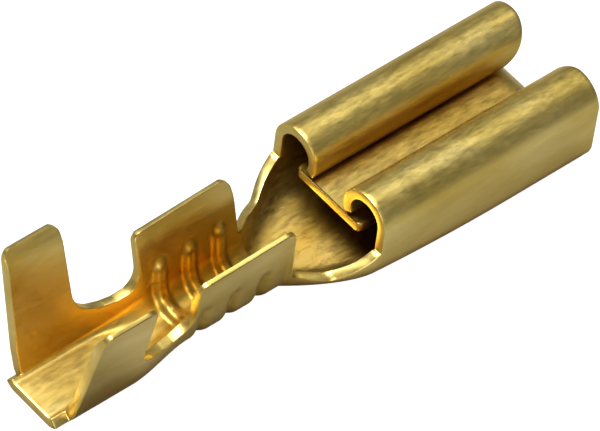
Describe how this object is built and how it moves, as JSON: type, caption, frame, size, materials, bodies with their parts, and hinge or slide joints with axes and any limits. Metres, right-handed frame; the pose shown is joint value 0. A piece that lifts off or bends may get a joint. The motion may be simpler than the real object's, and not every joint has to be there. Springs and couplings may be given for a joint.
{
  "type": "female spade terminal",
  "caption": "Open-barrel female crimp terminal folded from brass sheet, with a rolled receptacle, a sprung tongue, a serrated wire barrel and an insulation barrel.",
  "frame": {"origin": "midway along the terminal and across it, on the plane of the underside of the floor", "axes": "+X along the terminal towards the mating end, +Z out of the open side of the barrels"},
  "size_m": [0.0144, 0.0038, 0.0035],
  "materials": {
    "brass": "satin"
  },
  "bodies": {
    "root": {"terminal": "brass"}
  },
  "joints": []
}
